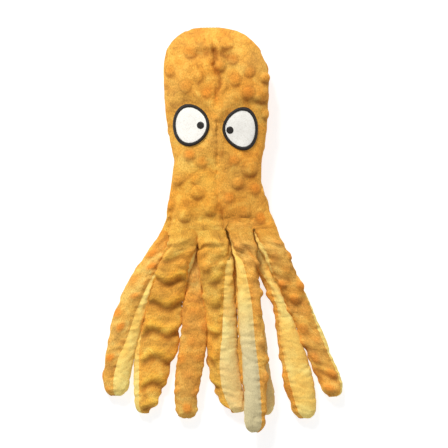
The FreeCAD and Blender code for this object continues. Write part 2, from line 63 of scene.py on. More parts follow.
# Rows from the place inside the head where the strip starts to the toe, in millimetres: y, centre x, centre z,
# half-width, half-thickness, and the angle in degrees where the cover starts. The cover goes on from there over
# half a turn, so 0 is cover side up and 180 is cover side down.
TENTACLE_ROWS = {
    1: [
        (24, -33.0, 7.5, 7.0, 5.0, 50),
        (6, -38.5, 7.0, 9.0, 6.0, 50),
        (-10, -45.7, 6.5, 10.0, 6.2, 53),
        (-28, -57.3, 6.5, 10.6, 6.2, 60),
        (-46, -67.4, 6.5, 11.9, 6.2, 62),
        (-65, -74.2, 6.5, 12.7, 6.2, 72),
        (-87, -80.1, 6.7, 12.6, 6.4, 81),
        (-106, -84.8, 6.7, 12.0, 6.4, 95),
        (-121, -87.4, 6.5, 10.8, 6.2, 101),
        (-136, -88.4, 6.1, 9.0, 5.8, 99),
    ],
    2: [
        (24, -27.0, 18.2, 11.0, 5.6, 0),
        (6, -30.5, 18.9, 12.4, 6.0, 0),
        (-10, -33.0, 19.4, 13.2, 6.4, 2),
        (-28, -38.0, 18.0, 13.0, 6.4, 26),
        (-46, -42.6, 14.0, 14.4, 6.6, 2),
        (-65, -47.8, 9.4, 15.4, 6.8, -8),
        (-84, -51.2, 7.4, 16.6, 7.0, -20),
        (-102, -55.2, 7.2, 16.8, 6.8, -38),
        (-120, -58.8, 6.9, 13.8, 6.6, -47),
        (-136, -62.2, 6.4, 10.0, 6.0, -48),
        (-150.5, -64.8, 5.7, 7.0, 5.4, -46),
    ],
    3: [
        (24, -20.0, 7.5, 7.0, 5.0, 40),
        (6, -21.5, 7.0, 8.5, 6.0, 40),
        (-10, -22.5, 6.5, 9.0, 6.2, 38),
        (-28, -23.0, 6.5, 9.0, 6.2, 20),
        (-46, -24.0, 6.5, 8.4, 6.2, 2),
        (-65, -24.2, 6.5, 10.8, 6.2, 0),
        (-88, -24.4, 7.0, 12.0, 6.6, 0),
        (-112, -26.9, 7.0, 12.2, 6.6, 0),
        (-135, -29.8, 6.7, 10.8, 6.4, 0),
        (-154.5, -30.3, 6.5, 9.6, 6.2, 0),
    ],
    4: [
        (24, -13.0, 20.0, 11.5, 5.6, 0),
        (6, -12.4, 19.8, 12.8, 6.0, -4),
        (-10, -8.6, 19.8, 13.8, 6.4, 0),
        (-28, -6.5, 18.5, 13.6, 6.4, 50),
        (-46, -4.5, 14.2, 13.6, 6.6, 66),
        (-65, -2.7, 9.4, 13.6, 6.8, 79),
        (-88, -0.9, 7.3, 13.4, 7.0, 88),
        (-110, 0.3, 7.0, 12.9, 6.8, 99),
        (-131, 4.2, 6.7, 11.6, 6.4, 112),
        (-150, 11.0, 6.1, 8.8, 5.8, 115),
    ],
    5: [
        (24, 8.0, 20.0, 11.0, 5.6, 2),
        (6, 11.6, 19.6, 12.4, 6.0, 2),
        (-10, 15.6, 20.0, 10.4, 6.4, -6),
        (-28, 18.2, 20.2, 9.2, 6.4, -66),
        (-46, 19.4, 20.2, 8.8, 6.4, -86),
        (-65, 20.3, 20.0, 9.2, 6.4, -98),
        (-90, 22.3, 20.0, 9.5, 6.4, -98),
        (-116, 24.2, 20.0, 9.4, 6.4, -108),
        (-142, 25.3, 19.1, 8.8, 6.2, -116),
        (-165.5, 25.4, 15.5, 8.2, 5.8, -132),
    ],
    6: [
        (24, 2.0, 7.5, 7.0, 5.0, 40),
        (6, 2.4, 7.0, 8.5, 6.0, 36),
        (-10, 3.7, 6.5, 9.0, 6.2, 30),
        (-28, 10.0, 6.5, 9.6, 6.2, 20),
        (-46, 15.8, 6.5, 10.2, 6.2, 8),
        (-65, 20.2, 6.5, 11.0, 6.2, 0),
        (-88, 22.6, 6.5, 11.8, 6.2, 12),
        (-110, 24.6, 6.5, 12.6, 6.2, 62),
        (-131, 28.8, 6.5, 12.2, 6.2, 104),
        (-151.5, 33.0, 6.1, 9.2, 5.8, 118),
    ],
    7: [
        (24, 19.0, 7.5, 7.0, 5.0, 105),
        (6, 23.0, 6.6, 8.0, 5.8, 108),
        (-10, 26.7, 6.1, 8.0, 5.8, 110),
        (-28, 29.8, 6.1, 7.8, 5.8, 112),
        (-46, 38.0, 6.1, 6.7, 5.8, 114),
        (-65, 45.2, 6.1, 6.4, 5.8, 125),
        (-88, 50.9, 6.5, 9.4, 6.2, 143),
        (-110, 57.3, 6.7, 12.2, 6.4, 138),
        (-132, 61.8, 6.7, 12.0, 6.4, 126),
        (-154.5, 67.0, 6.3, 9.4, 6.0, 119),
    ],
    8: [
        (24, 25.0, 16.8, 9.5, 5.4, 0),
        (6, 32.0, 18.0, 10.4, 6.0, -6),
        (-6, 35.6, 19.1, 10.5, 6.4, -26),
        (-16, 39.6, 19.2, 10.6, 6.4, -62),
        (-28, 44.6, 18.4, 10.4, 6.4, -38),
        (-46, 53.0, 14.7, 10.2, 6.4, -6),
        (-65, 61.8, 9.5, 10.3, 6.4, 24),
        (-84, 69.4, 7.1, 10.1, 6.8, 37),
        (-104, 78.1, 6.7, 9.9, 6.4, 36),
        (-121, 85.6, 6.5, 9.7, 6.2, 25),
        (-137, 90.4, 6.1, 8.6, 5.8, 10),
    ],
}
FRONT_TENTACLES = (2, 4, 5, 8)
BACK_TENTACLES = (1, 3, 6, 7)
ROW_STEP = 1.1  # mm between points along the cloth
TOE_ROUND = 9.5  # mm over which a toe rounds off
CUT_Y = -40.0  # mm, where the upper length of a strip is parted from the lower one
SOFT_REACH = 7.0  # mm over which the corners between the rows are eased off
SOFTEN = np.linspace(-SOFT_REACH, SOFT_REACH, 9)
SOFT_SHARES = 1.05 - np.abs(SOFTEN) / SOFT_REACH
LUMP_WAVES = 14  # waves added up for one field of lumps
LUMP_SUM = 5.0  # what the waves add up to at their highest, near enough
TUBE_SQUARE = 2.3  # how boxy the section of a tube is; 2 is an ellipse


def along(rows, y, column):
    """A column of the rows at any y, with the corners between the rows eased off."""
    rows = np.array(rows, float)[::-1]
    near = [np.interp(np.asarray(y) + d, rows[:, 0], rows[:, column]) for d in SOFTEN]
    return np.average(near, axis=0, weights=SOFT_SHARES)


def tentacle_at(number, y):
    """Centre x, centre z, half-width, half-thickness and cover angle of a tentacle at y."""
    return [along(TENTACLE_ROWS[number], y, column) for column in range(1, 6)]


def smooth_step(low, high, value):
    """0 at low and 1 at high, with a soft start and end; high may be the smaller one."""
    t = np.clip((np.asarray(value, float) - low) / (high - low), 0, 1)
    return t * t * (3 - 2 * t)


def soft_max(a, b, ease):
    """The larger of two, with the corner where they cross rounded over about this much."""
    return 0.5 * (a + b + np.sqrt((a - b) ** 2 + ease**2))


def lumps(seed, u, v, size):
    """Smooth random height from -1 to 1, even over the cloth, with lumps about this size."""
    random = np.random.default_rng(seed)
    total = np.zeros(np.broadcast(u, v).shape)
    for _ in range(LUMP_WAVES):
        angle, phase = random.uniform(0, 2 * math.pi, 2)
        pitch = size * random.uniform(0.7, 1.8)
        total += np.sin((u * math.cos(angle) + v * math.sin(angle)) * 2 * math.pi / pitch + phase)
    return total / LUMP_SUM


def ring(centre_x, centre_z, half_wide, half_thick, angle):
    """Points of a flattened round section at these angles, in radians, with their outward directions."""
    c, s = np.cos(angle), np.sin(angle)
    x = np.sign(c) * np.abs(c) ** (2 / TUBE_SQUARE)
    z = np.sign(s) * np.abs(s) ** (2 / TUBE_SQUARE)
    nx, nz = c / half_wide, s / half_thick
    length = np.hypot(nx, nz)
    return centre_x + half_wide * x, centre_z + half_thick * z, nx / length, nz / length


# ---------------------------------------------------------------- the tentacles: cloth left to settle
# A limp tube is never even. Before the dimples and seams go on, the plain bags of the head and the tentacles
# are let go as cloth a little larger than their shape, with a breath of air inside, so that it slackens.

SETTLE_FRAMES = 14
SETTLE_MOST = 2.4  # mm that the cloth may move
HELD_ABOVE = -10.0  # mm, y above which the head holds the tentacles


def settle(grids, pinned_rows):
    """Lets grids of points (rows, round, xyz in mm) settle as cloth and gives how far each point moved."""
    points, faces, held, starts = [], [], [], []
    for grid, rows_held in zip(grids, pinned_rows):
        rows, around = grid.shape[:2]
        first = len(points)
        starts.append(first)
        points += (grid.reshape(-1, 3) * MM).tolist()
        for i in range(rows - 1):
            for j in range(around):
                k = (j + 1) % around
                here, next_row = first + i * around, first + (i + 1) * around
                faces.append([here + j, here + k, next_row + k, next_row + j])
        for end in (0, rows - 1):
            faces.append([first + end * around + j for j in range(around)])
        for i in rows_held:
            held += [first + (i % rows) * around + j for j in range(around)]
    mesh = bpy.data.meshes.new("loose_cloth")
    mesh.from_pydata(points, [], faces)
    bags = bpy.data.objects.new("loose_cloth", mesh)
    bpy.context.collection.objects.link(bags)
    bags.vertex_groups.new(name="held").add(held, 1.0, "REPLACE")
    cloth = bags.modifiers.new("cloth", "CLOTH")
    settings = cloth.settings
    settings.quality = 5
    settings.mass = 0.15
    settings.tension_stiffness = 8
    settings.compression_stiffness = 8
    settings.shear_stiffness = 3
    settings.bending_stiffness = 0.02
    settings.use_pressure = True
    settings.uniform_pressure_force = 1.2
    settings.shrink_min = -0.07
    settings.vertex_group_mass = "held"
    settings.effector_weights.gravity = 0.0
    cloth.collision_settings.use_collision = False
    scene = bpy.context.scene
    for step in range(1, SETTLE_FRAMES + 1):
        scene.frame_set(step)
    settled = bags.evaluated_get(bpy.context.evaluated_depsgraph_get()).data
    after = np.empty(len(settled.vertices) * 3)
    settled.vertices.foreach_get("co", after)
    after = after.reshape(-1, 3) / MM
    bpy.data.objects.remove(bags)
    scene.frame_set(1)
    moves = []
    for grid, first in zip(grids, starts):
        count = grid.shape[0] * grid.shape[1]
        move = after[first : first + count].reshape(grid.shape) - grid
        size = np.linalg.norm(move, axis=2, keepdims=True)
        moves.append(move * np.tanh(size / SETTLE_MOST) * SETTLE_MOST / np.maximum(size, 1e-6))
    return moves


def refine(coarse, rows, around):
    """A closed-round grid of values on more rows and columns, along smooth curves through the old ones."""

    def weights(old, new_places, wrap):
        table = np.zeros((len(new_places), old))
        base = np.floor(new_places).astype(int)
        t = new_places - base
        shares = [
            (-t + 2 * t**2 - t**3) / 2,
            (2 - 5 * t**2 + 3 * t**3) / 2,
            (t + 4 * t**2 - 3 * t**3) / 2,
            (t**3 - t**2) / 2,
        ]
        for offset, share in zip((-1, 0, 1, 2), shares):
            index = (base + offset) % old if wrap else np.clip(base + offset, 0, old - 1)
            np.add.at(table, (np.arange(len(new_places)), index), share)
        return table

    down = weights(coarse.shape[0], np.asarray(rows), False)
    across = weights(coarse.shape[1], np.asarray(around), True)
    return np.einsum("ai,ijk,bj->abk", down, coarse, across)


# ---------------------------------------------------------------- the head: shape
# The head is a bag of four dimpled plush gores, two in front and two behind, that the tentacles run out of. It
# narrows to a neck below the eyes and spreads at the rim, where the cloth rises and falls over the tentacles.

# From the crown to the rim, in millimetres: y, centre x, half-width, half-thickness.
HEAD_ROWS = [
    (165.4, -12.8, 9.0, 3.2),
    (161.5, -10.4, 20.2, 7.6),
    (158.0, -9.6, 26.2, 10.0),
    (152.0, -9.0, 32.8, 13.0),
    (145.0, -8.6, 37.6, 15.2),
    (134.0, -7.2, 41.0, 17.4),
    (122.0, -6.0, 42.4, 18.4),
    (106.0, -6.0, 41.8, 18.6),
    (89.0, -5.4, 41.2, 18.0),
    (73.0, -4.9, 39.0, 17.0),
    (56.5, -4.5, 35.8, 15.8),
    (40.0, -5.5, 36.4, 14.6),
    (24.0, -3.8, 40.4, 13.8),
    (8.0, -3.0, 44.8, 13.3),
    (-6.0, -3.3, 49.0, 13.0),
]
RIM_Y = -5.0
CROWN_Y = 165.4
HEAD_FLAT = 0.8  # mm that the back is flattened by lying on it
CROWN_CLOSE = 2.2  # mm over which the crown closes to its gathered seam
HEAD_SQUARE = 2.15  # how boxy the section of the head is; 2 is an ellipse
SIDE_ROOT_Z = 7.5  # mm, height of the outermost root, which hangs from the back gore
NO_TUBE = -99.0  # mm, stands for no tentacle at this place


def head_at(y):
    """Centre x, half-width and half-thickness of the head at y."""
    rows = np.array(HEAD_ROWS, float)[::-1]
    steps = SOFTEN * np.clip((CROWN_Y - np.asarray(y)) / 30, 0, 1)[..., None] * 0.7
    places = np.asarray(y)[..., None] + steps
    columns = [np.interp(places, rows[:, 0], rows[:, column]) for column in (1, 2, 3)]
    return [np.average(values, axis=-1, weights=SOFT_SHARES) for values in columns]


def tentacle_hump(x, y, numbers, upward):
    """Height of the highest, or depth of the lowest, tentacle skin at x, y."""
    best = np.full(np.broadcast(x, y).shape, NO_TUBE)
    for number in numbers:
        cx, cz, wide, thick, _ = tentacle_at(number, y)
        aside = np.abs((x - cx) / (wide * 0.985))
        inside = np.clip(1 - aside**TUBE_SQUARE, 0, 1) ** (1 / TUBE_SQUARE)
        hump = (cz if upward else -cz) + thick * inside
        best = soft_max(best, np.where(inside > 0, hump, NO_TUBE), 1.2)
    return best


def head_skin(x, y, front):
    """Height of the front or the back of the head at x, y, before its wrinkles and dimples."""
    cx, wide, thick = head_at(y)
    middle = thick - HEAD_FLAT
    aside = (x - cx) / wide
    bulge = np.clip(1 - np.abs(aside) ** HEAD_SQUARE, 0, 1) ** (1 / HEAD_SQUARE)
    spread = smooth_step(14.0, RIM_Y, y)
    own = thick * bulge * (1 - 0.9 * spread)
    middle = middle - spread * smooth_step(-0.7, -1.0, aside) * (middle - SIDE_ROOT_Z)
    hidden = 0.5 - 1.1 * smooth_step(5.0, RIM_Y, y)
    if front:
        hump = tentacle_hump(x, y, TENTACLE_ROWS, True) + hidden - middle
    else:
        hump = tentacle_hump(x, y, BACK_TENTACLES, False) + hidden + middle
    cover = smooth_step(38.0, 14.0, y)
    own = own + cover * (soft_max(own, hump, 2.0) - own)
    own = own * np.sqrt(np.clip((CROWN_Y - y) / CROWN_CLOSE, 0, 1))
    return middle + own if front else middle - own


# ---------------------------------------------------------------- head and tentacles: the bags before sewing
# Each bag is laid out as rows of points round it. The front rim of the head is slit between its tentacles. A
# coarser copy of every bag settles first, to see where the cloth goes.

HEAD_AROUND = 232  # points round the head
TENTACLE_AROUND = 60  # points round a tentacle
LOOSE_HEAD_AROUND = 56  # the same for the coarse bags
LOOSE_TENTACLE_AROUND = 20
LOOSE_HEAD_STEP = 4.0  # mm between the rows of the coarse bags
LOOSE_TENTACLE_STEP = 3.6
CROWN_REACH = 12.0  # mm over which the rows draw together at the crown


def whole_turn(count):
    """This many angles, evenly round."""
    return np.arange(count) * 2 * math.pi / count


def spaced(start, stop, step):
    """Even places from start to stop, about a step apart."""
    return np.linspace(start, stop, max(2, int(round(abs(stop - start) / step)) + 1))


def head_levels(step):
    """y of each row of the head, closer together where the crown rounds off."""
    near_crown = CROWN_Y - CROWN_REACH * (1 - np.cos(spaced(0, math.pi / 2, step / 14)))
    return np.concatenate([near_crown, spaced(near_crown[-1] - step, RIM_Y, step)])


def tentacle_levels(number, step):
    """y of each row of a tentacle, closer together where the toe rounds off, and how far it has closed."""
    start, tip = TENTACLE_ROWS[number][0][0], TENTACLE_ROWS[number][-1][0]
    straight = spaced(start, tip + TOE_ROUND, step)
    turn = spaced(0, math.pi / 2, step / TOE_ROUND)[1:]
    toe = tip + TOE_ROUND * (1 - np.sin(turn))
    closing = np.concatenate([np.ones(len(straight)), np.maximum(np.cos(turn), 0.001) ** 0.85])
    return np.concatenate([straight, toe]), closing


# Where the front rim is slit between two tentacles, in millimetres: x, reach to each side, depth.
NOTCHES = [(3.6, 2.6, 9.0), (25.0, 2.4, 5.5)]


def head_grid(levels, angles):
    """Points of the bare head, rows by columns."""
    y = levels[:, None]
    cx, wide, _ = head_at(y)
    x = cx + wide * np.cos(angles)[None, :]
    in_front = np.sin(angles)[None, :] >= 0
    near_rim = smooth_step(13.0, RIM_Y, y)
    y = y + 0 * x
    for middle, reach, depth in NOTCHES:
        y = y + in_front * depth * near_rim * np.exp(-(((x - middle) / reach) ** 2))
    z = np.where(in_front, head_skin(x, y, True), head_skin(x, y, False))
    return np.stack([x, y, z], axis=2)


def tentacle_grid(number, levels, closing, angles):
    """Points of a bare tentacle, rows by columns, and the way out of the tube at each."""
    cx, cz, wide, thick, seam = (value[:, None] for value in tentacle_at(number, levels))
    turn = np.radians(seam) + angles[None, :]
    x, z, nx, nz = ring(cx, cz, wide * closing[:, None], thick * closing[:, None], turn)
    y = levels[:, None] + 0 * x
    return np.stack([x, y, z], axis=2), np.stack([nx, 0 * nx, nz], axis=2)


coarse_head = head_levels(LOOSE_HEAD_STEP)
loose = [head_grid(coarse_head, whole_turn(LOOSE_HEAD_AROUND))]
coarse_tentacles = {n: tentacle_levels(n, LOOSE_TENTACLE_STEP) for n in TENTACLE_ROWS}
for number, (levels, closing) in coarse_tentacles.items():
    loose.append(tentacle_grid(number, levels, closing, whole_turn(LOOSE_TENTACLE_AROUND))[0])
held_rows = [(0, -1)]
for levels, _ in coarse_tentacles.values():
    held_rows.append([i for i, y in enumerate(levels) if y > HELD_ABOVE] + [-1])
settled = settle(loose, held_rows)


# ---------------------------------------------------------------- plush cloths
# The covers are a knitted plush with raised round dots in offset rows. Its pile is short, golden in places and
# deep orange in the dots; shade is painted into its creases and below its dots, and highlights onto the ridges
# of its creases. The undersides are the same plush, plain and yellow.

DOT_APART = 15.5  # mm between the centres of neighbouring dots
DOT_ROW = DOT_APART * math.sqrt(3) / 2
DOT_RADIUS = 5.7
DOT_HIGH = 1.7
DOT_STRAY = 2.6  # mm that a dot may be off its place


def dots(u, v, seed):
    """Height from 0 to 1 of the raised dots on cloth measured u across and v along, in mm."""
    best = np.zeros(np.broadcast(u, v).shape)
    for half in (0, 1):
        row = np.round((v - half * DOT_ROW) / (2 * DOT_ROW))
        column = np.round((u - half * DOT_APART / 2) / DOT_APART)
        random = np.sin(row * 127.1 + column * 311.7 + half * 74.7 + seed * 19.19) * 43758.5453
        random = random - np.floor(random)
        centre_v = row * 2 * DOT_ROW + half * DOT_ROW + (random - 0.5) * DOT_STRAY
        centre_u = column * DOT_APART + half * DOT_APART / 2 + (random * 7 % 1 - 0.5) * DOT_STRAY
        oval = 1 + 0.35 * (random * 13 % 1 - 0.5)
        radius = DOT_RADIUS * (0.85 + 0.3 * random)
        away = np.hypot((u - centre_u) * oval, (v - centre_v) / oval) / radius
        height = (1 - smooth_step(0.25, 1.0, away)) * (0.3 + 1.0 * (random * 5 % 1))
        best = np.maximum(best, height)
    return best


def plush(name, shade, base, light, dot_shade, tuft_shade, tuft_share):
    """Short-pile plush: mottled, darker with painted shade and lighter with painted highlight where its masks
    say, fuzzy at grazing angles, with a fine nap.
    """
    material = bpy.data.materials.new(name)
    material.use_nodes = True
    nodes, links = material.node_tree.nodes, material.node_tree.links
    shader = nodes["Principled BSDF"]
    place = nodes.new("ShaderNodeAttribute")
    place.attribute_name = "cloth_place"

    def noise(scale, detail, roughness=0.6, stretch=None, distortion=0.0):
        texture = nodes.new("ShaderNodeTexNoise")
        texture.inputs["Scale"].default_value = scale
        texture.inputs["Detail"].default_value = detail
        texture.inputs["Roughness"].default_value = roughness
        texture.inputs["Distortion"].default_value = distortion
        source = place.outputs["Vector"]
        if stretch:
            mapping = nodes.new("ShaderNodeMapping")
            mapping.inputs["Scale"].default_value = stretch
            links.new(source, mapping.inputs["Vector"])
            source = mapping.outputs["Vector"]
        links.new(source, texture.inputs["Vector"])
        return texture.outputs["Fac"]

    def ramp(value, *stops):
        node = nodes.new("ShaderNodeValToRGB")
        elements = node.color_ramp.elements
        while len(elements) < len(stops):
            elements.new(0.5)
        for element, (position, colour) in zip(elements, stops):
            element.position = position
            element.color = (*colour, 1)
        links.new(value, node.inputs["Fac"])
        return node.outputs["Color"]

    def mix(kind, amount, a, b):
        node = nodes.new("ShaderNodeMix")
        node.data_type = "RGBA"
        node.blend_type = kind
        if isinstance(amount, float):
            node.inputs["Factor"].default_value = amount
        else:
            links.new(amount, node.inputs["Factor"])
        for socket, value in ((node.inputs["A"], a), (node.inputs["B"], b)):
            if isinstance(value, tuple):
                socket.default_value = (*value, 1)
            else:
                links.new(value, socket)
        return node.outputs["Result"]

    def mask(name):
        attribute = nodes.new("ShaderNodeAttribute")
        attribute.attribute_name = name
        return attribute.outputs["Fac"]

    mottled = ramp(noise(75, 6, 0.7, distortion=0.7), (0.32, shade), (0.50, base), (0.68, light))
    patches = ramp(noise(26, 3, 0.55), (0.40, (1.0, 0.92, 0.80)), (0.60, (0.98, 1.10, 1.28)))
    colour = mix("MULTIPLY", 0.9, mottled, patches)
    colour = mix("MIX", mask("spot"), colour, dot_shade)
    colour = mix("MULTIPLY", mask("faded"), colour, (1.04, 1.15, 1.60))
    # painted shade: darker in the creases and folds and below the dots, on the side away from the light
    colour = mix("MULTIPLY", mask("painted_shade"), colour, (0.50, 0.40, 0.36))
    # a golden tone, and a painted highlight on the ridges of the creases
    colour = mix("MULTIPLY", mask("gold_tone_and_highlight"), colour, (1.12, 1.22, 0.95))
    tuft_light = (1.20, 1.21, 1.24)
    tufts = ramp(noise(1000, 3, 0.75, stretch=(1, 0.6, 1)), (0.32, tuft_shade), (0.64, tuft_light))
    colour = mix("MULTIPLY", tuft_share, colour, tufts)
    links.new(colour, shader.inputs["Base Color"])
    shader.inputs["Roughness"].default_value = 0.92
    shader.inputs["Specular IOR Level"].default_value = 0.18
    shader.inputs["Sheen Weight"].default_value = 0.35
    shader.inputs["Sheen Roughness"].default_value = 0.45
    shader.inputs["Sheen Tint"].default_value = (*light, 1)
    fuzz = nodes.new("ShaderNodeBump")
    fuzz.inputs["Strength"].default_value = 0.55
    fuzz.inputs["Distance"].default_value = 0.0007
    links.new(noise(900, 4, 0.7, stretch=(1, 0.5, 1)), fuzz.inputs["Height"])
    nap = nodes.new("ShaderNodeBump")
    nap.inputs["Strength"].default_value = 0.5
    nap.inputs["Distance"].default_value = 0.0016
    links.new(noise(190, 4, 0.6, distortion=0.6), nap.inputs["Height"])
    links.new(fuzz.outputs["Normal"], nap.inputs["Normal"])
    links.new(nap.outputs["Normal"], shader.inputs["Normal"])
    return material


DIMPLE_PLUSH = plush(
    "dimpled orange plush",
    (0.55, 0.225, 0.034),
    (0.80, 0.36, 0.050),
    (0.90, 0.50, 0.090),
    dot_shade=(0.80, 0.255, 0.026),
    tuft_shade=(0.62, 0.57, 0.48),
    tuft_share=0.8,
)
SMOOTH_PLUSH = plush(
    "smooth yellow plush",
    (0.82, 0.50, 0.115),
    (0.93, 0.64, 0.165),
    (0.98, 0.74, 0.22),
    dot_shade=(0.70, 0.60, 0.34),
    tuft_shade=(0.80, 0.76, 0.68),
    tuft_share=0.6,
)


FLOOR_CLEAR = 0.15  # mm, the lowest that cloth lies


def cloth_piece(name, points, place, masks, material):
    """A sheet of cloth from a grid of points in mm. place is where each point lies on the flat cloth, in mm,
    and the masks say how far the colour changes at each point, from 0 to 1."""
    rows, columns = points.shape[:2]
    mesh = bpy.data.meshes.new(name)
    faces = []
    for i in range(rows - 1):
        for j in range(columns - 1):
            a = i * columns + j
            faces.append((a, a + columns, a + columns + 1, a + 1))
    points = points.copy()
    points[..., 2] = soft_max(points[..., 2], FLOOR_CLEAR, 0.5)
    mesh.from_pydata((points.reshape(-1, 3) * MM).tolist(), [], faces)
    attribute = mesh.attributes.new("cloth_place", "FLOAT_VECTOR", "POINT")
    attribute.data.foreach_set("vector", (place.reshape(-1, 3) * MM).astype(np.float32).ravel())
    for mask, values in masks.items():
        attribute = mesh.attributes.new(mask, "FLOAT", "POINT")
        values = np.clip(values + np.zeros((rows, columns)), 0, 1)
        attribute.data.foreach_set("value", values.astype(np.float32).ravel())
    mesh.polygons.foreach_set("use_smooth", [True] * len(mesh.polygons))
    mesh.materials.append(material)
    piece = bpy.data.objects.new(name, mesh)
    bpy.context.collection.objects.link(piece)
    return piece


def lengths(points, axis):
    """Distance along the cloth from its first row (axis 0) or column (axis 1) to each point."""
    steps = np.linalg.norm(np.diff(points, axis=axis), axis=2)
    start = np.zeros_like(np.take(steps, [0], axis=axis))
    return np.cumsum(np.concatenate([start, steps], axis=axis), axis=axis)


# ---------------------------------------------------------------- the tentacles: sewing
# Cover and underside, both of short-pile plush, are sewn edge to edge and turned, so each seam sinks into a
# puckered groove. Loose plush also gathers into creases that run across a tentacle; shade is painted into the
# creases and a highlight onto the ridges between.

BAND_APART = 19.5  # mm between the creases that run across a tentacle
BANDS = {2: 2.1, 4: 1.9, 8: 0.7, 1: 0.2, 3: 0.2}  # depth of those creases, in mm, by tentacle
BAND_LEAST = 0.4  # mm, their depth on the other tentacles
ONE_SIDED = 4  # the tentacle whose creases keep to one seam
DOT_SHARE = {1: 0.5, 2: 0.5, 3: 0.8, 4: 0.9, 5: 1.2, 6: 1.2, 7: 1.3, 8: 1.45}  # how far the dots stand up
DOT_SHADOW_DROP = 3.4  # mm down the cloth, away from the light, that the painted shadow of a dot is moved
SPOT_SHARE = {1: 0.9, 2: 0.1, 3: 0.7, 4: 0.1, 5: 0.25, 6: 0.4, 7: 0.4, 8: 0.7}  # how orange the dots are
FADED = {1: 1.1, 2: 0.5, 3: 0.7, 4: 0.3, 5: 1.0, 6: 0.5, 7: 0.4, 8: 0.8}  # how far the cover has gone tan
GOLDEN = {1: 0.2, 2: 0.35, 4: 0.35}  # how golden the cover is all over
PALE = {5: 1.0, 4: 0.45, 6: 0.5}  # how far the lower half of an underside has faded
SEAM_DEEP = 1.5  # mm
SEAM_WIDE = 2.6
PUCKER_APART = 4.6  # mm along a seam
GATHER_APART = 7.3
CREASE_WIDE = 0.16  # how wide the creases of an underside are, as a share of its lumps
FRONT_CLOTH = 700.0  # mm, tells the cloth of the front gores and covers apart from the other cloths
FACE_MIDDLE = 3.0  # mm from the middle of the face to the middle of the frame


def settled_moves(bag, levels, coarse_levels, around, coarse_around):
    """How far each point of a bag moved as it settled, read off its coarse copy."""
    rows = np.interp(-levels, -coarse_levels, np.arange(len(coarse_levels)))
    return refine(settled[bag], rows, np.arange(around) * coarse_around / around)


